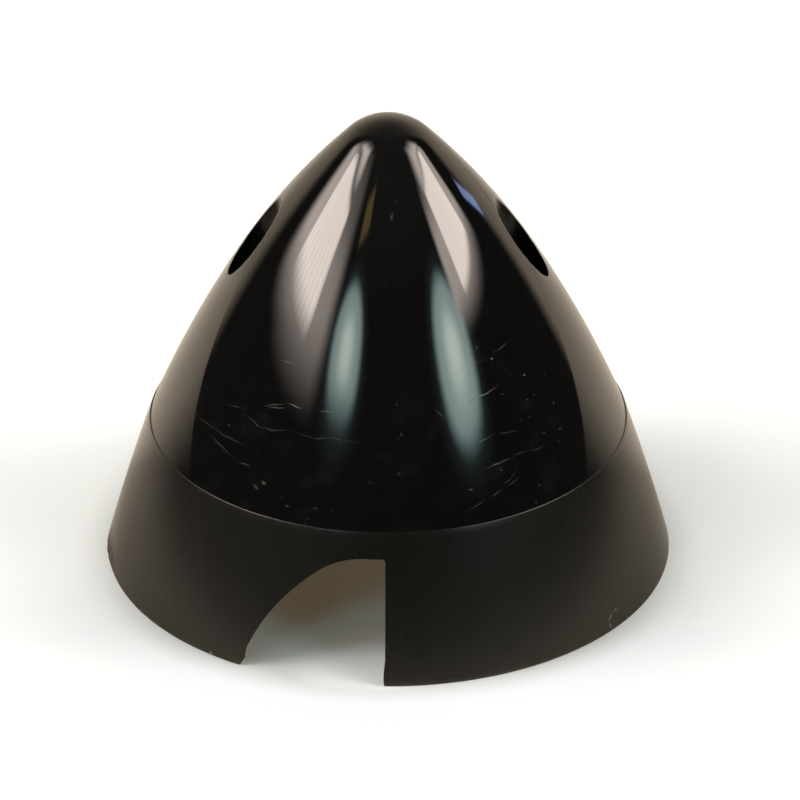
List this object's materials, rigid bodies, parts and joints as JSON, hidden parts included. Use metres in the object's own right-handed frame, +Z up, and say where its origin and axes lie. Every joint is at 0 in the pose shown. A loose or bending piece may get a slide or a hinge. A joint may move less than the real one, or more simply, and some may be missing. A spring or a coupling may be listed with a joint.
{
  "type": "propeller spinner",
  "caption": "Hollow ogive nose cone for a model aircraft propeller, with blade cut-outs at its rear rim and screw wells.",
  "frame": {"origin": "centre of the rear rim, on the spinner's axis", "axes": "+Z up the axis to the nose, screw wells on X, blade cut-outs at -Y and +Y"},
  "size_m": [0.0508, 0.0508, 0.0431],
  "materials": {
    "black_plastic": "polished nose, satin skirt"
  },
  "bodies": {
    "root": {"spinner_cone": "black_plastic"}
  },
  "joints": []
}
